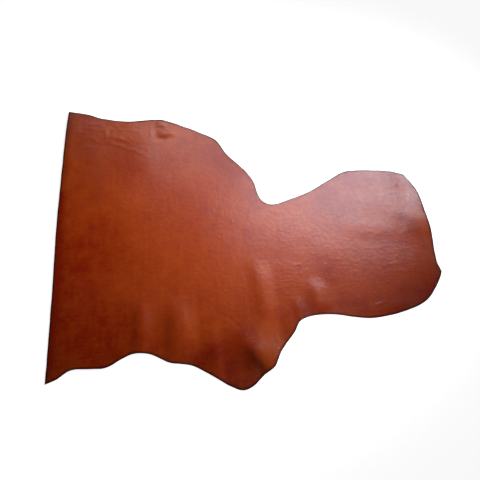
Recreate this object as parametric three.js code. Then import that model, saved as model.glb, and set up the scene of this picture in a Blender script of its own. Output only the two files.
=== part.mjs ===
// A leather side: one large piece of a tanned hide, lying grain side up on a surface, with the
// low folds that it keeps from being rolled. One edge is cut straight. The rest is the hide's
// own outline, hand-trimmed, and draws in to a waist before the lobe of the neck.
//
// Lengths are in millimetres. The side is drafted with the low end of its cut edge near the
// origin, +Y up along that edge, +X away from it towards the neck and +Z up from the surface.
// At the end it is moved, so that its origin is at the centre of the bottom of its box.

import * as THREE from "three";

const THICKNESS = 2.8; // from the flesh side to the grain side
const CELLS_ALONG = 76; // mesh cells from the cut edge to the neck edge
const CELLS_UP = 30; // mesh cells from the lower edge to the upper edge
const EDGE_DIVISIONS = 2000; // steps in which an edge's length is measured
const RELAX_PASSES = 150; // enough to settle the mesh lines inside the outline

const GRAIN_FINISH = { color: 0x9a4424, roughness: 0.42, metalness: 0 };

// The outline: four corners, and the places that each edge passes between two of them.
const CORNERS = {
  cutLow: { x: -7, y: -3 },
  cutHigh: { x: 0, y: 1282 },
  neckLow: { x: 1493, y: 342 },
  neckHigh: { x: 1441, y: 819 },
};

const CUT_EDGE = [
  { at: "near the low end", x: -8, y: 240 },
  { at: "below the middle", x: -10, y: 440 },
  { at: "middle", x: -13, y: 660 },
  { at: "above the middle", x: -10, y: 940 },
  { at: "near the high end", x: -6, y: 1170 },
];

const NECK_EDGE = [
  { at: "tip", x: 1492, y: 352 },
  { at: "nick above the tip", x: 1485, y: 382 },
  { at: "below the middle", x: 1488, y: 451 },
  { at: "middle", x: 1495, y: 536 },
  { at: "above the middle", x: 1489, y: 640 },
  { at: "rounding off", x: 1477, y: 736 },
];

const UPPER_EDGE = [
  { at: "first hump", x: 98, y: 1256 },
  { at: "step", x: 143, y: 1236 },
  { at: "hollow", x: 272, y: 1208 },
  { at: "rising", x: 366, y: 1210 },
  { at: "second hump", x: 420, y: 1206 },
  { at: "slope", x: 508, y: 1164 },
  { at: "slope below", x: 590, y: 1116 },
  { at: "shoulder", x: 655, y: 1069 },
  { at: "below the shoulder", x: 696, y: 989 },
  { at: "bulge", x: 772, y: 889 },
  { at: "bulge's end", x: 803, y: 826 },
  { at: "into the waist", x: 814, y: 766 },
  { at: "waist's corner", x: 833, y: 725 },
  { at: "waist", x: 868, y: 708 },
  { at: "out of the waist", x: 935, y: 725 },
  { at: "neck's slope", x: 1030, y: 762 },
  { at: "neck's slope above", x: 1131, y: 822 },
  { at: "neck's hump", x: 1190, y: 853 },
  { at: "neck's flat", x: 1255, y: 856 },
  { at: "neck's flat, far end", x: 1396, y: 838 },
];

const LOWER_EDGE = [
  { at: "heel", x: 38, y: 14 },
  { at: "first step", x: 80, y: 41 },
  { at: "first hem", x: 205, y: 42 },
  { at: "second step", x: 254, y: 67 },
  { at: "second hem", x: 300, y: 86 },
  { at: "second hem's end", x: 366, y: 80 },
  { at: "third step", x: 430, y: 46 },
  { at: "third hem", x: 509, y: 30 },
  { at: "lobe's near side", x: 562, y: -1 },
  { at: "lobe's slope", x: 641, y: -56 },
  { at: "lobe's end", x: 690, y: -76 },
  { at: "lobe's far corner", x: 730, y: -60 },
  { at: "lobe's fold", x: 766, y: -28 },
  { at: "lobe's far side", x: 804, y: -4 },
  { at: "long slope", x: 840, y: 62 },
  { at: "long slope's end", x: 900, y: 140 },
  { at: "lower waist's corner", x: 917, y: 171 },
  { at: "lower waist", x: 957, y: 190 },
  { at: "neck's lower hem", x: 1045, y: 192 },
  { at: "neck's belly", x: 1118, y: 177 },
  { at: "neck's lowest", x: 1191, y: 166 },
  { at: "neck's rise", x: 1320, y: 186 },
  { at: "neck's round", x: 1405, y: 221 },
  { at: "neck's round, far end", x: 1456, y: 277 },
  { at: "below the tip", x: 1480, y: 315 },
];

// The folds: low ridges, hollow below, of a height in millimetres. Each runs straight from one
// place to another and falls away over its reach on the left and on the right of that run. Its
// fades are the shares of the run over which it rises at the start and sinks at the end; one
// with no fade there runs off the edge.
const FOLDS = [
  { name: "roll of the cut edge", height: 5,
    from: [64, -60], to: [24, 1300], fades: [0, 0], reach: [100, 190] },
  { name: "belly's swell", height: 5,
    from: [335, 440], to: [330, -60], fades: [0.7, 0], reach: [250, 300] },
  { name: "first ripple", height: 4.6,
    from: [336, 325], to: [328, 40], fades: [0.45, 0], reach: [54, 50] },
  { name: "second ripple", height: 4.3,
    from: [458, 325], to: [484, 20], fades: [0.45, 0.35], reach: [84, 60] },
  { name: "third ripple", height: 4.4,
    from: [585, 220], to: [603, -50], fades: [0.7, 0], reach: [44, 56] },
  { name: "lobe's fold", height: 11,
    from: [650, 180], to: [806, -38], fades: [0.8, 0], reach: [150, 58] },
  { name: "middle ridge", height: 2.4,
    from: [782, 480], to: [800, 60], fades: [0.35, 0.5], reach: [64, 54] },
  { name: "corner's bump", height: 1.6,
    from: [914, 285], to: [926, 170], fades: [0.5, 0], reach: [30, 28] },
  { name: "neck's pucker", height: 2.2,
    from: [986, 360], to: [1004, 190], fades: [0.45, 0.3], reach: [60, 38] },
  { name: "neck's inner roll", height: 1.2,
    from: [1370, 900], to: [1345, 520], fades: [0, 0.5], reach: [70, 200] },
  { name: "neck's upper curl", height: 2.6,
    from: [1476, 900], to: [1500, 600], fades: [0, 0.4], reach: [50, 74] },
  { name: "neck's cross ridge", height: 2.8,
    from: [1290, 640], to: [1560, 590], fades: [0.5, 0], reach: [150, 110] },
  { name: "neck's end roll", height: 2.2,
    from: [1400, 640], to: [1372, 180], fades: [0.75, 0], reach: [100, 300] },
  { name: "upper swell", height: 1,
    from: [340, 1170], to: [336, 850], fades: [0.4, 0.5], reach: [90, 90] },
];

function edgePoints(start, places, end, cells) {
  const route = [start, ...places, end].map(({ x, y }) => new THREE.Vector3(x, y, 0));
  const curve = new THREE.CatmullRomCurve3(route, false, "centripetal");
  curve.arcLengthDivisions = EDGE_DIVISIONS;
  return curve.getSpacedPoints(cells);
}

// Each of the four edges as evenly spaced points, from the cut edge's end or the low end.
function outline() {
  const { cutLow, cutHigh, neckLow, neckHigh } = CORNERS;
  return {
    lower: edgePoints(cutLow, LOWER_EDGE, neckLow, CELLS_ALONG),
    upper: edgePoints(cutHigh, UPPER_EDGE, neckHigh, CELLS_ALONG),
    cut: edgePoints(cutLow, CUT_EDGE, cutHigh, CELLS_UP),
    neck: edgePoints(neckLow, NECK_EDGE, neckHigh, CELLS_UP),
  };
}

function between(start, end, share) {
  return new THREE.Vector3().lerpVectors(start, end, share);
}

// A Coons patch fills the outline: what the long edges give, plus what the short edges give,
// less what the four corners alone would give.
function planPoint(edges, along, up) {
  const { lower, upper, cut, neck } = edges;
  const alongShare = along / CELLS_ALONG;
  const upShare = up / CELLS_UP;
  const lowCorners = between(lower[0], lower[CELLS_ALONG], alongShare);
  const highCorners = between(upper[0], upper[CELLS_ALONG], alongShare);
  return between(lower[along], upper[along], upShare)
    .add(between(cut[up], neck[up], alongShare))
    .sub(between(lowCorners, highCorners, upShare));
}

function coonsPlan() {
  const edges = outline();
  const plan = [];
  for (let up = 0; up <= CELLS_UP; up += 1) {
    plan.push([]);
    for (let along = 0; along <= CELLS_ALONG; along += 1) plan[up].push(planPoint(edges, along, up));
  }
  return plan;
}

// Winslow's equation for one inner point: the weighted mean of its neighbours at which the
// mesh lines through it spread evenly, even where the outline is steep.
function relaxedPoint(plan, along, up) {
  const [below, here, above] = [plan[up - 1], plan[up], plan[up + 1]];
  const alongStep = here[along + 1].clone().sub(here[along - 1]);
  const upStep = above[along].clone().sub(below[along]);
  const alongWeight = upStep.lengthSq();
  const upWeight = alongStep.lengthSq();
  const diagonals = above[along + 1].clone().sub(below[along + 1]).sub(above[along - 1]).add(below[along - 1]);
  return here[along - 1]
    .clone()
    .add(here[along + 1])
    .multiplyScalar(alongWeight)
    .addScaledVector(below[along], upWeight)
    .addScaledVector(above[along], upWeight)
    .addScaledVector(diagonals, -alongStep.dot(upStep) / 2)
    .divideScalar(2 * (alongWeight + upWeight));
}

// The sheet seen from above. A Coons patch alone folds over where the outline is steep.
function relaxedPlan() {
  const plan = coonsPlan();
  for (let pass = 0; pass < RELAX_PASSES; pass += 1) {
    for (let up = 1; up < CELLS_UP; up += 1) {
      for (let along = 1; along < CELLS_ALONG; along += 1) {
        plan[up][along].copy(relaxedPoint(plan, along, up));
      }
    }
  }
  return plan;
}

function foldHeight({ from, to, height, fades, reach }, { x, y }) {
  const [runX, runY] = [to[0] - from[0], to[1] - from[1]];
  const [offX, offY] = [x - from[0], y - from[1]];
  const run = Math.hypot(runX, runY);
  const share = (offX * runX + offY * runY) / run ** 2;
  const rightward = (offX * runY - offY * runX) / run;
  const aside = Math.abs(rightward) / (rightward < 0 ? reach[0] : reach[1]);
  if (share <= 0 || share >= 1 || aside >= 1) return 0;
  const rise = THREE.MathUtils.smoothstep(share, 0, fades[0]);
  const sink = THREE.MathUtils.smoothstep(1 - share, 0, fades[1]);
  return height * rise * sink * Math.cos((Math.PI / 2) * aside) ** 2;
}

function lift(point) {
  return FOLDS.reduce((height, fold) => height + foldHeight(fold, point), 0);
}

// The flesh side's points, row by row from the lower edge, then the grain side's in that order.
function sheetPoints() {
  const flesh = relaxedPlan()
    .flat()
    .map((point) => point.setZ(lift(point)));
  const grain = flesh.map((point) => new THREE.Vector3(point.x, point.y, point.z + THICKNESS));
  return [...flesh, ...grain];
}

function pointIndex(along, up) {
  return up * (CELLS_ALONG + 1) + along;
}

const LAYER = pointIndex(0, CELLS_UP + 1); // points on one side of the sheet

function faceTriangles() {
  const triangles = [];
  for (let up = 0; up < CELLS_UP; up += 1) {
    for (let along = 0; along < CELLS_ALONG; along += 1) {
      const a = pointIndex(along, up);
      const b = pointIndex(along + 1, up);
      const c = pointIndex(along + 1, up + 1);
      const d = pointIndex(along, up + 1);
      triangles.push(LAYER + a, LAYER + b, LAYER + c, LAYER + a, LAYER + c, LAYER + d);
      triangles.push(a, c, b, a, d, c);
    }
  }
  return triangles;
}

// The points of the outline, anticlockwise as seen from above.
function rimIndices() {
  const rim = [];
  for (let along = 0; along < CELLS_ALONG; along += 1) rim.push(pointIndex(along, 0));
  for (let up = 0; up < CELLS_UP; up += 1) rim.push(pointIndex(CELLS_ALONG, up));
  for (let along = CELLS_ALONG; along > 0; along -= 1) rim.push(pointIndex(along, CELLS_UP));
  for (let up = CELLS_UP; up > 0; up -= 1) rim.push(pointIndex(0, up));
  return rim;
}

function rimTriangles() {
  const rim = rimIndices();
  return rim.flatMap((here, position) => {
    const next = rim[(position + 1) % rim.length];
    return [here, next, LAYER + next, here, LAYER + next, LAYER + here];
  });
}

function sheetGeometry() {
  const geometry = new THREE.BufferGeometry().setFromPoints(sheetPoints());
  geometry.setIndex([...faceTriangles(), ...rimTriangles()]);
  geometry.computeVertexNormals();
  return geometry;
}

function leatherSide() {
  const side = new THREE.Mesh(sheetGeometry(), new THREE.MeshStandardMaterial(GRAIN_FINISH));
  side.name = "leather_side";
  const box = new THREE.Box3().setFromObject(side);
  const centre = box.getCenter(new THREE.Vector3());
  side.position.set(-centre.x, -centre.y, -box.min.z);
  return side;
}

const group = new THREE.Group();
group.add(leatherSide());

export default group;
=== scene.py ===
"""A leather side lying grain side up: one sheet of hide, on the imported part's outline and folds.

Lengths are in metres, apart from the tables of creases, wrinkles and bands, which are in
millimetres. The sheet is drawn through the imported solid's own points, made finer, and given its
creases, its wrinkles, its rounded cut edge and its flesh side.
"""

import math
import random

import bpy
import numpy as np
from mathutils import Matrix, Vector, noise
from mathutils.kdtree import KDTree


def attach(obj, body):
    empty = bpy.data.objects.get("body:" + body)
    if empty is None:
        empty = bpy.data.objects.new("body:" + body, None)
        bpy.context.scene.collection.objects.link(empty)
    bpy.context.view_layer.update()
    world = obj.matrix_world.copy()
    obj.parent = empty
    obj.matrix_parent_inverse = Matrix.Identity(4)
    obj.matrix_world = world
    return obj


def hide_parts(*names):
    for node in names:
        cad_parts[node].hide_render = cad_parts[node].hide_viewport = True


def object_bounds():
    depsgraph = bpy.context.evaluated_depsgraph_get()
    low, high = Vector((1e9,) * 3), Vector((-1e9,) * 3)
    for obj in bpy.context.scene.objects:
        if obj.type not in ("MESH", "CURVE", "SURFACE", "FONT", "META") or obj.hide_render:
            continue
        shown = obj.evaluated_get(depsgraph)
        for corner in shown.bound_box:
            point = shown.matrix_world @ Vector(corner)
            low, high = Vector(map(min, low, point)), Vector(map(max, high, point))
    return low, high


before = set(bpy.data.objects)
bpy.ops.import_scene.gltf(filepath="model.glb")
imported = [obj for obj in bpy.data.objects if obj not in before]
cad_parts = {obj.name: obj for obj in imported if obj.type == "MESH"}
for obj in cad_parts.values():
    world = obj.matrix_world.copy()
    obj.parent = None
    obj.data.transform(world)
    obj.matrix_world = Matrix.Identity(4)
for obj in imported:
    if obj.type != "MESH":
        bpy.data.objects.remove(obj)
cad_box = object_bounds()


def table(columns, *rows):
    """Rows as dicts, with the names of their columns in one string."""
    return [dict(zip(columns.split(), row)) for row in rows]


# ---- Sizes ----

MM = 0.001
NODE = "leather_side"

# Reading the solid's grid.
SAME_PLACE = 6  # decimals of a metre to which two points are one
FACING_UP = 0.5  # the least upward part of a grain side triangle's normal, of 1

# The finer sheet: how many steps it has between two of the solid's points, along it and up it.
STEPS_ALONG = 4
STEPS_UP = 5

# Where the part's tables have the low end of the cut edge, in millimetres. The tables below use the
# same places.
TABLE_LOW_END = (-7.0, -3.0)

# The section of the cut edge, from the grain side down: how far each line of it lies inside the
# outline, and how far down it lies, from 0 at the grain side to 1 at the flesh side.
EDGE_SECTION = table(
    "inset down",
    (0.8 * MM, 0.0),
    (0.25 * MM, 0.08),
    (0.0, 0.25),
    (0.05 * MM, 0.85),
    (0.4 * MM, 1.0),
)

# The knife's wander along the edge, the low swell all over, since a hide never lies quite flat, and
# the edge that lifts here and there. Each is noise of about so many waves in a metre.
EDGE_WOBBLE = {"size": 1.0 * MM, "waves": 30.0, "seed": 5.3}
SWELL = {"height": 0.4 * MM, "waves": 7.0, "seed": 3.7}
EDGE_LIFT = {"height": 0.5 * MM, "waves": 5.0, "seed": 9.1, "reach": 28 * MM}


# ---- Creases, in millimetres ----

# Creases, listed one by one. Each runs from one place to another, bowed to its left by its bow. A
# height above 0 is a ridge, and one below 0 a trough. Its reach is half its width.
CREASES = table(
    "name from to bow height reach",
    ("pucker's ridge", (394, 1128), (486, 1118), 3, 2.3, 27),
    ("pucker's hollow", (386, 1098), (444, 1092), -4, -0.6, 20),
    ("pucker's upper ridge", (390, 1186), (446, 1168), 0, 1.8, 17),
    ("upper hem", (0, 1166), (390, 1120), 0, 1.4, 80),
    ("arc by the first hump", (60, 1206), (222, 1150), 12, 0.85, 15),
    ("arc below it", (70, 1170), (180, 1152), 8, 0.7, 13),
    ("arc to the pucker", (186, 1122), (292, 1074), 5, 0.8, 13),
    ("low arc", (150, 1092), (262, 1052), 6, 0.6, 13),
    ("long upper line", (230, 1062), (372, 990), 6, 0.55, 13),
    ("hem's line", (170, 1203), (330, 1180), -8, 0.9, 15),
    ("below the neck's cross ridge", (1120, 588), (1600, 485), 0, 1.0, 70),
    ("far end of the neck's cross ridge", (1395, 592), (1585, 536), 0, 1.3, 90),
    ("pucker in the neck", (1004, 326), (1050, 282), 3, 0.2, 16),
    ("neck's line", (1236, 372), (1345, 392), 5, 0.25, 5),
    ("neck's far line", (1335, 352), (1462, 344), 2, 0.2, 6),
    ("neck's low line", (1196, 216), (1260, 236), -5, 0.6, 8),
    ("line to the lobe", (596, 236), (706, 148), 12, -0.7, 7),
    ("growth line", (872, 381), (918, 379), 0, 0.3, 5),
    ("second growth line", (870, 360), (908, 361), 0, 0.3, 5),
    ("third growth line", (871, 344), (912, 345), 0, 0.3, 5),
    ("low growth line", (866, 288), (904, 285), 0, 0.3, 5),
    ("right growth line", (906, 417), (956, 413), 1, 0.3, 5),
)
END_FADE = 0.7  # how soon a crease dies out towards its ends: less is later

# Families of small wrinkles: where they lie and how far they scatter, how many there are, the way
# they run in degrees and how much that varies, and the size of one.
WRINKLES = table(
    "name middle scatter count way turn length height reach",
    ("upper wrinkles", (200, 1140), (120, 50), 44, -12, 30, (20, 70), 0.6, 8),
    ("waist's growth lines", (930, 370), (90, 70), 40, -2, 5, (20, 60), 0.15, 4.5),
    ("neck's growth lines", (1240, 480), (150, 170), 90, -8, 18, (25, 80), 0.06, 5),
    ("middle streaks", (620, 420), (170, 200), 40, 88, 8, (40, 120), 0.16, 8),
    ("belly lines", (600, 150), (200, 70), 24, 74, 25, (30, 90), 0.2, 8),
)
WRINKLE_SEED = 7
WRINKLE_SHARES = (0.5, 1.3)  # of its family's height
WRINKLE_BOW = 0.06  # of half its length


# ---- Bands, in millimetres ----

# Each is deepest on the line from one place to another, and a twentieth of it is left at its reach.
BAND_FALL = 3.0

# Where the dye lies deeper or, below 0, paler than in the rest. Some bands are painted light rather than
# dye:
# painted shade along the cut edge's roll, in the trough below the second ripple and beside the lobe's
# fold, partly painted shade towards the belly and the low cut edge where the light falls off, and
# painted highlight on the lit sides of the second ripple, the lobe's fold and the middle ridge.
DYE_AND_PAINTED_LIGHT_BANDS = table(
    "name from to depth reach",
    ("cut edge", (-14, 40), (-10, 820), 0.7, 42),
    ("cut edge's high end", (-10, 820), (-4, 1290), 0.1, 40),
    ("low cut edge", (0, 300), (0, 520), 0.3, 220),
    ("low back", (150, 240), (150, 620), 0.28, 190),
    ("belly", (60, 120), (300, 100), 0.3, 300),
    ("middle of the back", (270, 640), (300, 760), -0.15, 110),
    ("second ripple", (505, 240), (520, 160), -0.35, 60),
    ("below the second ripple", (540, 40), (600, 90), 0.5, 70),
    ("lobe", (640, -20), (700, 110), 0.45, 125),
    ("beyond the lobe's fold", (800, 150), (806, 20), -1.0, 60),
    ("beyond the middle ridge", (803, 410), (820, 200), -0.25, 45),
    ("middle", (600, 420), (760, 460), -0.15, 130),
    ("waist's low hem", (870, 200), (1160, 235), 0.3, 65),
    ("neck's pucker", (1010, 330), (1035, 270), -0.1, 50),
    ("waist", (940, 420), (1080, 580), -0.1, 200),
    ("before the neck", (1100, 690), (1160, 650), 0.35, 110),
    ("behind the neck's pucker", (1030, 420), (1060, 350), 0.25, 70),
    ("neck's high side", (1100, 850), (1330, 840), 0.6, 260),
    ("neck's low side", (1250, 160), (1490, 300), 0.3, 90),
    ("neck", (1180, 600), (1400, 300), 0.18, 280),
    ("neck's end", (1390, 610), (1410, 580), 0.2, 45),
    ("neck's tip side", (1462, 600), (1475, 540), -0.2, 45),
    ("bulge's end", (785, 770), (800, 700), 0.4, 50),
    ("bulge", (640, 1010), (730, 860), 0.45, 100),
    ("high back", (230, 1180), (470, 1130), -0.6, 110),
)

# Painted shade: where the grain is painted darker, in the hollows and on the shaded sides of the folds,
# along the cut edge's roll and at the neck's end.
PAINTED_SHADE_BANDS = table(
    "name from to depth reach",
    ("back by the cut edge", (150, 420), (160, 700), 0.07, 150),
    ("high cut edge", (140, 800), (110, 1070), 0.17, 110),
    ("cut edge's high end", (-10, 820), (-4, 1290), 0.24, 42),
    ("before the first ripple", (304, 250), (298, 90), 0.13, 30),
    ("before the second ripple", (430, 212), (425, 70), 0.34, 42),
    ("lobe", (560, 50), (720, 20), 0.23, 60),
    ("lobe's fold", (715, 70), (775, -20), 0.65, 30),
    ("before the middle ridge", (752, 400), (766, 220), 0.07, 36),
    ("waist's corner", (950, 230), (965, 270), 0.28, 48),
    ("neck's end", (1388, 630), (1420, 540), 0.2, 50),
    ("neck's high end", (1372, 810), (1388, 680), 0.07, 38),
    ("pucker's hollow", (412, 1106), (434, 1098), 0.55, 19),
    ("pucker's upper hollow", (398, 1168), (430, 1158), 0.45, 13),
)

# Where the grain is rolled smoother.
SMOOTH_BANDS = table(
    "name from to depth reach",
    ("belly", (120, 120), (800, 40), 1.0, 240),
    ("back by the cut edge", (140, 480), (150, 960), 1.1, 190),
    ("neck's low side", (1060, 350), (1300, 400), 0.5, 170),
)


# ---- Finish ----

CHESTNUT = (0.41, 0.056, 0.0035, 1)
DEEP_CHESTNUT = (0.235, 0.0115, 0.0001, 1)
# The colour of the painted shade in the hollows and beside the folds.
PAINTED_SHADE_CHESTNUT = (0.10, 0.008, 0.0003, 1)
# The colour the grain darkens to at its very edge.
RIM_DARK_BROWN = (0.035, 0.004, 0.001, 1)
CUT_BROWN = (0.075, 0.018, 0.006, 1)
CUT_TAN = (0.19, 0.065, 0.028, 1)
FLESH_TAN = (0.40, 0.17, 0.085, 1)
FLESH_SHADE = (0.27, 0.095, 0.042, 1)
PAPER = (0.8, 0.8, 0.8, 1)
PURE_WHITE = (1, 1, 1, 1)

# The dye's unevenness: noise of so many waves in a metre along and up the side, turned by so many
# degrees, and its share in the depth of the dye.
DYE_MEAN = 0.36  # from 0, chestnut, to 1, deep chestnut
NOISE_MEAN = 0.5
DYE = table(
    "name waves turn detail share",
    ("clouds", (5, 5), 0, 3, 0.6),
    ("patches", (18, 18), 0, 3, 0.7),
    ("mottle", (60, 60), 0, 3, 0.6),
    ("specks", (190, 190), 0, 2, 0.45),
    ("lines across", (14, 140), 4, 3, 0.4),
    ("lines up", (50, 8), -3, 3, 0.4),
)

# The darkened rim of the grain: how wide it is, and how dark at the very edge.
RIM_WIDTH = 13 * MM
RIM_DEPTH = 0.9

# The grain's roughness: between two values with the mottle, and lower where it is rolled smoother.
GRAIN_ROUGHNESS = (0.19, 0.225)
SMOOTHER_BY = 0.055

# The grain's relief, too fine for the mesh: the dye's noises once more, and small cells.
GRAIN_RELIEF = table(
    "noise height",
    ("lines across", 0.2 * MM),
    ("mottle", 0.4 * MM),
    ("specks", 0.34 * MM),
)
GRAIN_CELLS = {"waves": 420.0, "height": 0.04 * MM}

# The cut edge's fibres, whose waves are along x, y and z, and the flesh side's nap and clouds.
CUT_FIBRES = {"waves": (900, 900, 2600), "height": 0.25 * MM}
FLESH_NAP = {"waves": 260.0, "height": 0.5 * MM}
FLESH_CLOUDS = {"waves": 9.0, "height": 0.6 * MM}


# ---- The camera and the lamps ----

# Angles are in degrees, and the lens and its sensor in millimetres.
VIEW_ELEVATION = 58.0
VIEW_AZIMUTH = -4.3
VIEW_DISTANCE = 2.667
VIEW_TARGET = (-0.018, -0.0572, 0.0)  # from the middle of the bottom of the part's box
LENS = 50.0
SENSOR = 36.0

# Each lamp is aimed at a place on the floor, and lies at an azimuth, an elevation and a distance from
# it, with its power in watts and its spread in degrees. Azimuths go anticlockwise from the front. The
# windows show only in the leather's sheen, and the other lamps only in its colour and on the floor.
# A fit to the photo's tones showed about where the key, the fill and the windows belong, and these
# round numbers were then set.
LAMP_WHITE = (1, 1, 1)
DAYLIGHT = (0.83, 0.91, 1.0)
LAMPS = table(
    "name azimuth elevation distance aim size power spread colour sheen",
    ("key", 100, 30, 2.9, (-0.5, 0.22), (0.7, 0.7), 12, 53, LAMP_WHITE, False),
    ("fill", 0, 80, 1.4, (0.15, -0.2), (0.8, 0.8), 0.75, 57, LAMP_WHITE, False),
    ("belly's fill", 0, 90, 1.2, (-0.1, -0.4), (0.6, 0.6), 0.07, 60, LAMP_WHITE, False),
    ("neck's fill", 0, 90, 1.2, (0.53, -0.1), (0.5, 0.5), 0.16, 50, LAMP_WHITE, False),
    ("high window", 164, 53, 4.8, (0.1, 0), (1.4, 0.3), 29, 180, DAYLIGHT, True),
    ("right window", 150, 46, 4.8, (0.1, 0), (0.9, 0.4), 24, 180, DAYLIGHT, True),
    ("left window", 185, 42, 4.8, (0.1, 0), (1.1, 1.1), 15, 180, DAYLIGHT, True),
    ("far window", 202, 36, 4.8, (0.1, 0), (0.8, 0.2), 1.5, 180, DAYLIGHT, True),
)

WORLD_LIGHT = 0.02
FLOOR_GLOW = 0.92
FLOOR_HALF = 20.0  # half its side
FLOOR_GAP = 0.3 * MM  # between the floor and the sheet


# ---- The sheet's points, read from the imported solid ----


def welded(node):
    """A node's points, each once, and its triangles as rows of three of them."""
    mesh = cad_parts[node].data
    mesh.calc_loop_triangles()
    places = np.empty(len(mesh.vertices) * 3)
    mesh.vertices.foreach_get("co", places)
    corners = np.empty(len(mesh.loop_triangles) * 3, int)
    mesh.loop_triangles.foreach_get("vertices", corners)
    places = places.reshape(-1, 3)
    _, first, index = np.unique(places.round(SAME_PLACE), axis=0, return_index=True, return_inverse=True)
    return places[first], index.ravel()[corners].reshape(-1, 3)


def facing_up(points, triangles):
    """The triangles on the grain side."""
    first, second, last = points[triangles].transpose(1, 0, 2)
    normal = np.cross(second - first, last - first)
    return triangles[normal[:, 2] > FACING_UP * np.linalg.norm(normal, axis=1)]


def grain_rows(points, triangles):
    """The grain side's points in rows from the cut edge to the neck, the lower edge's row first.

    Every cell between two rows is cut in two by the line from its low near corner to its high far
    one, so each row gives the next: its points are the third ones of the triangles on this row."""
    third = {}
    for a, b, c in triangles.tolist():
        third[a, b], third[b, c], third[c, a] = c, a, b
    follower = {a: b for a, b in third if (b, a) not in third}
    triangles_at = np.bincount(triangles.ravel())
    low_end = min(follower, key=lambda point: points[point][0] + points[point][1])
    row = [low_end, follower[low_end]]
    while triangles_at[row[-1]] > 1:
        row.append(follower[row[-1]])
    rows = [row]
    while (row[0], row[1]) in third:
        beyond = [third[pair] for pair in zip(row, row[1:])]
        row = [third[row[0], beyond[0]], *beyond]
        rows.append(row)
    return points[rows]


def finer(rows, steps):
    """Rows with steps - 1 new ones between each two, on Catmull-Rom curves through them."""
    before = np.concatenate([2 * rows[:1] - rows[1:2], rows[:-2]])
    start = rows[:-1]
    end = rows[1:]
    after = np.concatenate([rows[2:], 2 * rows[-1:] - rows[-2:-1]])
    shares = [
        start
        + share * (end - before) / 2
        + share**2 * (before - 2.5 * start + 2 * end - after / 2)
        + share**3 * (1.5 * (start - end) + (after - before) / 2)
        for share in np.arange(steps) / steps
    ]
    inner = np.stack(shares, axis=1).reshape(-1, *rows.shape[1:])
    return np.concatenate([inner, rows[-1:]])


def fine_grain():
    """The grain side's points as a fine grid: rows up it, columns along it, and then x, y, z."""
    points, triangles = welded(NODE)
    rows = finer(grain_rows(points, facing_up(points, triangles)), STEPS_UP)
    return finer(rows.transpose(1, 0, 2), STEPS_ALONG).transpose(1, 0, 2)


# ---- Relief ----


def ridge(x, y, start, end, bow, height, reach):
    """The height at x, y of one crease, soft on both sides and at both ends."""
    run = math.hypot(end[0] - start[0], end[1] - start[1])
    along = ((end[0] - start[0]) / run, (end[1] - start[1]) / run)
    share = ((x - start[0]) * along[0] + (y - start[1]) * along[1]) / run
    inside = np.clip(share, 0, 1)
    leftward = (y - start[1]) * along[0] - (x - start[0]) * along[1]
    aside = np.abs(leftward - 4 * bow * inside * (1 - inside)) / reach
    section = np.cos(np.pi / 2 * np.clip(aside, 0, 1)) ** 2
    return height * section * np.sin(np.pi * inside) ** END_FADE


def band(x, y, start, end, reach):
    """1 on the line from start to end, and less with the distance from it."""
    run = np.subtract(end, start)
    share = np.clip(((x - start[0]) * run[0] + (y - start[1]) * run[1]) / (run @ run), 0, 1)
    away = np.hypot(x - start[0] - share * run[0], y - start[1] - share * run[1])
    return np.exp(-BAND_FALL * (away / reach) ** 2)


def summed(bands, x, y):
    """The depth of all the bands together at x, y."""
    return sum(row["depth"] * band(x, y, row["from"], row["to"], row["reach"]) for row in bands)


def table_places(points, low_end):
    """The places of points in the tables' millimetres, as x and y."""
    return ((points[:, :2] - low_end[:2]) / MM + TABLE_LOW_END).T


def wrinkle(draw, family):
    """One wrinkle of a family, drawn at random, as a row like those of the creases."""
    middle = [draw.gauss(at, by) for at, by in zip(family["middle"], family["scatter"])]
    way = math.radians(draw.gauss(family["way"], family["turn"]))
    half = draw.uniform(*family["length"]) / 2
    lean = (half * math.cos(way), half * math.sin(way))
    return {
        "from": (middle[0] - lean[0], middle[1] - lean[1]),
        "to": (middle[0] + lean[0], middle[1] + lean[1]),
        "height": family["height"] * draw.uniform(*WRINKLE_SHARES),
        "bow": draw.gauss(0, WRINKLE_BOW) * half,
        "reach": family["reach"],
    }


def creases(x, y):
    """The height at x, y of all the creases and wrinkles. All of it is in millimetres."""
    draw = random.Random(WRINKLE_SEED)
    wrinkles = [wrinkle(draw, family) for family in WRINKLES for _ in range(family["count"])]
    height = np.zeros_like(x)
    for row in CREASES + wrinkles:
        height += ridge(x, y, row["from"], row["to"], row["bow"], row["height"], row["reach"])
    return height


def rolling(points, waves, seed):
    """Smooth noise from about -1 to 1 at each point's place seen from above."""
    return np.array([noise.noise(Vector((x * waves, y * waves, seed))) for x, y in points[:, :2]])


def edge_distance(points, outline):
    """How far each point lies from the nearest one of the outline, seen from above."""
    tree = KDTree(len(outline))
    for number, point in enumerate(outline):
        tree.insert((point[0], point[1], 0), number)
    tree.balance()
    return np.array([tree.find((x, y, 0))[2] for x, y in points[:, :2]])


def relief(points, distance):
    """How much higher the fine sheet lies at its points than the solid's folds alone."""
    x, y = table_places(points, points[0])
    swell = SWELL["height"] * (1 + rolling(points, SWELL["waves"], SWELL["seed"]))
    lift = EDGE_LIFT["height"] * (1 + rolling(points, EDGE_LIFT["waves"], EDGE_LIFT["seed"]))
    return creases(x, y) * MM + swell + lift * np.exp(-distance / EDGE_LIFT["reach"])


# ---- The mesh ----

GRAIN, CUT, FLESH = range(3)  # the materials' numbers


def rim_numbers(numbers):
    """The outline's points in a grid of numbers, anticlockwise as seen from above."""
    return np.concatenate([numbers[0, :-1], numbers[:-1, -1], numbers[-1, :0:-1], numbers[:0:-1, 0]])


def outward(outline):
    """The way out of the sheet at each point of its outline, seen from above."""
    run = np.roll(outline, -1, axis=0) - np.roll(outline, 1, axis=0)
    way = np.stack([run[:, 1], -run[:, 0], np.zeros(len(run))], axis=1)
    return way / np.linalg.norm(way, axis=1, keepdims=True)


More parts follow.
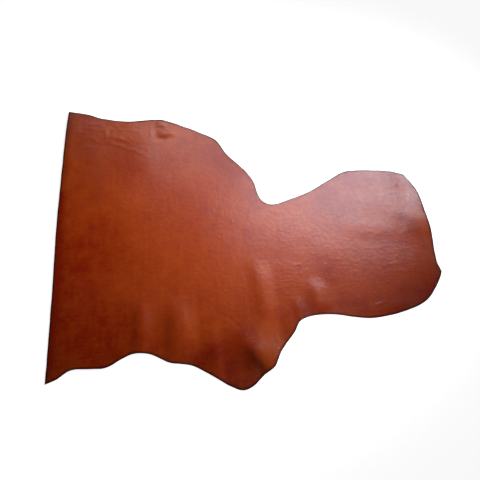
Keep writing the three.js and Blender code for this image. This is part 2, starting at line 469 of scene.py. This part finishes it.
def sheet_points(grain, rim, thickness):
    """The closed sheet's points, and the distance of each from the outline: the grain side's, the
    flesh side's, and then the lines of the cut edge that belong to neither."""
    out = outward(grain[rim])
    wobble = EDGE_WOBBLE["size"] * rolling(grain[rim], EDGE_WOBBLE["waves"], EDGE_WOBBLE["seed"])
    outline = grain[rim] + out * wobble[:, None]
    distance = edge_distance(grain, outline)
    distance[rim] = 0
    height = np.maximum(grain[:, 2] - thickness, 0) + relief(grain, distance)
    flesh = np.column_stack([grain[:, :2], np.maximum(height, 0)])
    outline[:, 2] = flesh[rim, 2]
    upper = flesh + (0, 0, thickness)
    lines = [
        outline - out * section["inset"] + (0, 0, thickness * (1 - section["down"]))
        for section in EDGE_SECTION
    ]
    upper[rim] = lines[0]
    flesh[rim] = lines[-1]
    on_edge = np.zeros((len(lines) - 2) * len(rim))
    points = np.concatenate([upper, flesh, *lines[1:-1]])
    return points, np.concatenate([distance, distance, on_edge])


def grid_quads(numbers):
    """The quads of a grid of point numbers, facing up."""
    low, high = numbers[:-1], numbers[1:]
    corners = [low[:, :-1], low[:, 1:], high[:, 1:], high[:, :-1]]
    return np.stack(corners, axis=-1).reshape(-1, 4)


def ring_quads(upper, lower):
    """The quads between two closed lines of points, the upper one first."""
    return np.stack([lower, np.roll(lower, -1), np.roll(upper, -1), upper], axis=1)


def sheet_quads(numbers, rim):
    """The closed sheet's quads, and the number of each one's material. The ring between the cut
    edge's first two lines is grain, rolled over the edge."""
    between = 2 * numbers.size + np.arange((len(EDGE_SECTION) - 2) * len(rim)).reshape(-1, len(rim))
    lines = [rim, *between, rim + numbers.size]
    rings = [ring_quads(upper, lower) for upper, lower in zip(lines, lines[1:])]
    parts = [grid_quads(numbers), grid_quads(numbers + numbers.size)[:, ::-1], *rings]
    materials = [GRAIN, FLESH, GRAIN, *[CUT] * (len(rings) - 1)]
    material_of = [np.full(len(part), material) for part, material in zip(parts, materials)]
    return np.concatenate(parts), np.concatenate(material_of)


def give_attribute(mesh, name, values):
    data = mesh.attributes.new(name, "FLOAT", "POINT").data
    data.foreach_set("value", values.astype(np.float32))


def sheet_mesh():
    grid = fine_grain()
    grain = grid.reshape(-1, 3)
    numbers = np.arange(len(grain)).reshape(grid.shape[:2])
    rim = rim_numbers(numbers)
    points, distance = sheet_points(grain, rim, thickness=grain[:, 2].min())
    quads, material_of = sheet_quads(numbers, rim)
    mesh = bpy.data.meshes.new("hide")
    mesh.from_pydata(points.tolist(), [], quads.tolist())
    mesh.polygons.foreach_set("material_index", material_of.astype(np.int32))
    mesh.polygons.foreach_set("use_smooth", np.ones(len(quads), bool))
    x, y = table_places(points, grain[0])
    give_attribute(mesh, "edge_distance", distance)
    # The dye's depth, with the bands of painted shade and painted highlight in it.
    give_attribute(mesh, "dye_depth", summed(DYE_AND_PAINTED_LIGHT_BANDS, x, y))
    # Painted shade in the hollows and on the shaded sides of the folds.
    give_attribute(mesh, "painted_shade", summed(PAINTED_SHADE_BANDS, x, y))
    give_attribute(mesh, "smoothness", summed(SMOOTH_BANDS, x, y))
    return mesh


def make_sheet():
    mesh = sheet_mesh()
    for make in (grain_material, cut_material, flesh_material):
        mesh.materials.append(make())
    mesh.update()
    return add_object("hide", mesh)


# ---- Materials ----


class Shader:
    """A material's node tree with one Principled shader, and short ways to add nodes to it."""

    def __init__(self, name):
        self.material = bpy.data.materials.new(name)
        self.material.use_nodes = True
        self.tree = self.material.node_tree
        self.tree.nodes.clear()
        self.skin = self.add("ShaderNodeBsdfPrincipled")
        output = self.add("ShaderNodeOutputMaterial")
        self.link(self.skin.outputs["BSDF"], output.inputs["Surface"])
        self.place = self.add("ShaderNodeTexCoord").outputs["Object"]

    def add(self, kind, **settings):
        node = self.tree.nodes.new(kind)
        for name, value in settings.items():
            setattr(node, name, value)
        return node

    def link(self, source, target):
        self.tree.links.new(source, target)

    def give(self, target, value):
        """Links a socket to a target, or sets the target to a plain value."""
        if isinstance(value, bpy.types.NodeSocket):
            self.link(value, target)
        else:
            target.default_value = value

    def give_skin(self, **values):
        """Sets or links the shader's sockets: base_color is the one named Base Color."""
        sockets = {socket.name.lower().replace(" ", "_"): socket for socket in self.skin.inputs}
        for name, value in values.items():
            self.give(sockets[name], value)

    def stretched(self, by, turn=0.0):
        """The place on the sheet, turned about +Z in degrees and then scaled on each axis."""
        mapping = self.add("ShaderNodeMapping", vector_type="POINT")
        self.link(self.place, mapping.inputs["Vector"])
        mapping.inputs["Rotation"].default_value = (0, 0, math.radians(turn))
        mapping.inputs["Scale"].default_value = by
        return mapping.outputs["Vector"]

    def noise(self, waves, detail, roughness=0.5, warp=0.0, place=None):
        node = self.add("ShaderNodeTexNoise")
        self.link(place or self.place, node.inputs["Vector"])
        node.inputs["Scale"].default_value = waves
        node.inputs["Detail"].default_value = detail
        node.inputs["Roughness"].default_value = roughness
        node.inputs["Distortion"].default_value = warp
        return node.outputs["Fac"]

    def cells(self, waves):
        node = self.add("ShaderNodeTexVoronoi")
        self.link(self.place, node.inputs["Vector"])
        node.inputs["Scale"].default_value = waves
        return node.outputs["Distance"]

    def ranged(self, value, low, high, to_low=0.0, to_high=1.0):
        """The value from low to high, moved smoothly to the span from to_low to to_high."""
        node = self.add("ShaderNodeMapRange", interpolation_type="SMOOTHSTEP")
        self.give(node.inputs["Value"], value)
        node.inputs["From Min"].default_value = low
        node.inputs["From Max"].default_value = high
        node.inputs["To Min"].default_value = to_low
        node.inputs["To Max"].default_value = to_high
        return node.outputs["Result"]

    def maths(self, operation, first, second):
        node = self.add("ShaderNodeMath", operation=operation)
        self.give(node.inputs[0], first)
        self.give(node.inputs[1], second)
        return node.outputs["Value"]

    def mixed(self, share, first, second):
        node = self.add("ShaderNodeMix", data_type="RGBA")
        self.give(node.inputs["Factor"], share)
        colours = [socket for socket in node.inputs if socket.type == "RGBA"]
        self.give(colours[0], first)
        self.give(colours[1], second)
        return next(socket for socket in node.outputs if socket.type == "RGBA")

    def bump(self, height, distance, strength=1.0, under=None):
        node = self.add("ShaderNodeBump")
        self.give(node.inputs["Height"], height)
        node.inputs["Distance"].default_value = distance
        node.inputs["Strength"].default_value = strength
        if under is not None:
            self.link(under, node.inputs["Normal"])
        return node.outputs["Normal"]

    def attribute(self, name):
        return self.add("ShaderNodeAttribute", attribute_name=name).outputs["Fac"]


def grain_colour(shader, noises):
    """Chestnut dye of uneven depth, with painted shade and highlight in some of its bands, painted shade
    in the hollows and beside the folds, and darker along the edge.
    """
    # The dye's depth, with the painted shade and highlight of its bands.
    depth = shader.maths("ADD", shader.attribute("dye_depth"), DYE_MEAN)
    for row in DYE:
        from_mean = shader.maths("SUBTRACT", noises[row["name"]], NOISE_MEAN)
        depth = shader.maths("ADD", depth, shader.maths("MULTIPLY", from_mean, row["share"]))
    dyed_and_painted = shader.mixed(depth, CHESTNUT, DEEP_CHESTNUT)
    # Painted shade in the hollows and on the shaded sides of the folds.
    with_painted_shade = shader.mixed(shader.attribute("painted_shade"), dyed_and_painted, PAINTED_SHADE_CHESTNUT)
    # Darker towards the outline, within the rim's width.
    from_edge = shader.attribute("edge_distance")
    at_edge = shader.ranged(from_edge, low=0.0, high=RIM_WIDTH, to_low=RIM_DEPTH, to_high=0.0)
    return shader.mixed(at_edge, with_painted_shade, RIM_DARK_BROWN)


def grain_material():
    shader = Shader("grain")
    noises = {}
    for row in DYE:
        along, up = row["waves"]
        place = shader.stretched((along, up, along), row["turn"])
        noises[row["name"]] = shader.noise(1.0, row["detail"], place=place)
    least, most = GRAIN_ROUGHNESS
    dull = shader.ranged(noises["mottle"], low=0.3, high=0.7, to_low=least, to_high=most)
    smoother = shader.maths("MULTIPLY", shader.attribute("smoothness"), SMOOTHER_BY)
    normal = None
    for row in GRAIN_RELIEF:
        normal = shader.bump(noises[row["noise"]], row["height"], under=normal)
    cells = shader.cells(GRAIN_CELLS["waves"])
    shader.give_skin(
        base_color=grain_colour(shader, noises),
        roughness=shader.maths("SUBTRACT", dull, smoother),
        normal=shader.bump(cells, GRAIN_CELLS["height"], under=normal),
    )
    return shader.material


def cut_material():
    """The cut edge: bare fibres, finer across the thickness than along it."""
    shader = Shader("cut_edge")
    fibres = shader.noise(1.0, detail=4.0, place=shader.stretched(CUT_FIBRES["waves"]))
    shader.give_skin(
        base_color=shader.mixed(shader.ranged(fibres, low=0.3, high=0.75), CUT_BROWN, CUT_TAN),
        roughness=0.75,
        normal=shader.bump(fibres, CUT_FIBRES["height"], strength=0.8),
    )
    return shader.material


def flesh_material():
    """The flesh side: suede of a fine nap, in soft clouds."""
    shader = Shader("flesh")
    nap = shader.noise(FLESH_NAP["waves"], detail=4.0, roughness=0.65)
    clouds = shader.noise(FLESH_CLOUDS["waves"], detail=4.0, warp=0.6)
    clouded = shader.mixed(
        shader.ranged(clouds, low=0.3, high=0.75, to_high=0.5), FLESH_TAN, FLESH_SHADE
    )
    rolling_normal = shader.bump(clouds, FLESH_CLOUDS["height"], strength=0.5)
    shader.give_skin(
        base_color=shader.mixed(
            shader.ranged(nap, low=0.35, high=0.75, to_high=0.45), clouded, FLESH_SHADE
        ),
        roughness=0.92,
        specular_ior_level=0.2,
        sheen_weight=0.35,
        sheen_roughness=0.4,
        normal=shader.bump(nap, FLESH_NAP["height"], strength=0.8, under=rolling_normal),
    )
    return shader.material


def floor_material():
    """White paper: it takes the sheet's shadow, and its own glow is only for the camera."""
    shader = Shader("floor")
    seen = shader.add("ShaderNodeLightPath").outputs["Is Camera Ray"]
    shader.give_skin(
        base_color=PAPER,
        roughness=0.9,
        specular_ior_level=0.0,
        emission_color=PURE_WHITE,
        emission_strength=shader.maths("MULTIPLY", seen, FLOOR_GLOW),
    )
    return shader.material


# ---- The stage ----


def add_object(name, data):
    thing = bpy.data.objects.new(name, data)
    bpy.context.scene.collection.objects.link(thing)
    return thing


def way_to(azimuth, elevation):
    """The way from the sheet to a camera or lamp, from two angles in degrees."""
    azimuth, elevation = math.radians(azimuth), math.radians(elevation)
    level = math.cos(elevation)
    return Vector((math.sin(azimuth) * level, -math.cos(azimuth) * level, math.sin(elevation)))


def turned_to(way):
    """The rotation of a camera or lamp whose back is towards way."""
    return way.to_track_quat("Z", "Y").to_euler()


def add_camera():
    low, high = cad_box
    middle_of_base = Vector(((low.x + high.x) / 2, (low.y + high.y) / 2, low.z))
    back = way_to(VIEW_AZIMUTH, VIEW_ELEVATION)
    data = bpy.data.cameras.new("camera")
    data.lens = LENS
    data.sensor_width = SENSOR
    camera = add_object("camera", data)
    camera.location = middle_of_base + Vector(VIEW_TARGET) + back * VIEW_DISTANCE
    camera.rotation_euler = turned_to(back)
    bpy.context.scene.camera = camera


def add_lamp(name, azimuth, elevation, distance, aim, size, power, spread, colour, sheen):
    data = bpy.data.lights.new(name, "AREA")
    data.shape = "RECTANGLE"
    data.size, data.size_y = size
    data.energy = power
    data.color = colour
    data.spread = math.radians(spread)
    lamp = add_object(name, data)
    back = way_to(azimuth, elevation)
    lamp.location = Vector((*aim, 0)) + back * distance
    lamp.rotation_euler = turned_to(back)
    lamp.visible_camera = False
    lamp.visible_diffuse = not sheen
    lamp.visible_glossy = sheen


def add_world():
    """A dim white world for the object, which the camera sees as pure white."""
    world = bpy.data.worlds.new("studio")
    world.use_nodes = True
    nodes = world.node_tree.nodes
    nodes.clear()
    output = nodes.new("ShaderNodeOutputWorld")
    mix = nodes.new("ShaderNodeMixShader")
    path = nodes.new("ShaderNodeLightPath")
    link = world.node_tree.links.new
    link(path.outputs["Is Camera Ray"], mix.inputs["Fac"])
    link(mix.outputs["Shader"], output.inputs["Surface"])
    for socket, strength in ((mix.inputs[1], WORLD_LIGHT), (mix.inputs[2], 1.0)):
        background = nodes.new("ShaderNodeBackground")
        background.inputs["Color"].default_value = PURE_WHITE
        background.inputs["Strength"].default_value = strength
        link(background.outputs["Background"], socket)
    bpy.context.scene.world = world


def add_floor():
    half = FLOOR_HALF
    corners = [(-half, -half, 0), (half, -half, 0), (half, half, 0), (-half, half, 0)]
    mesh = bpy.data.meshes.new("floor")
    mesh.from_pydata(corners, [], [(0, 1, 2, 3)])
    mesh.materials.append(floor_material())
    floor = add_object("floor", mesh)
    floor.location.z = cad_box[0].z - FLOOR_GAP


add_camera()
add_world()
add_floor()
for lamp in LAMPS:
    add_lamp(**lamp)
bpy.context.scene.view_settings.view_transform = "Standard"

hide = make_sheet()
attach(hide, "root")
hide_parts(NODE)
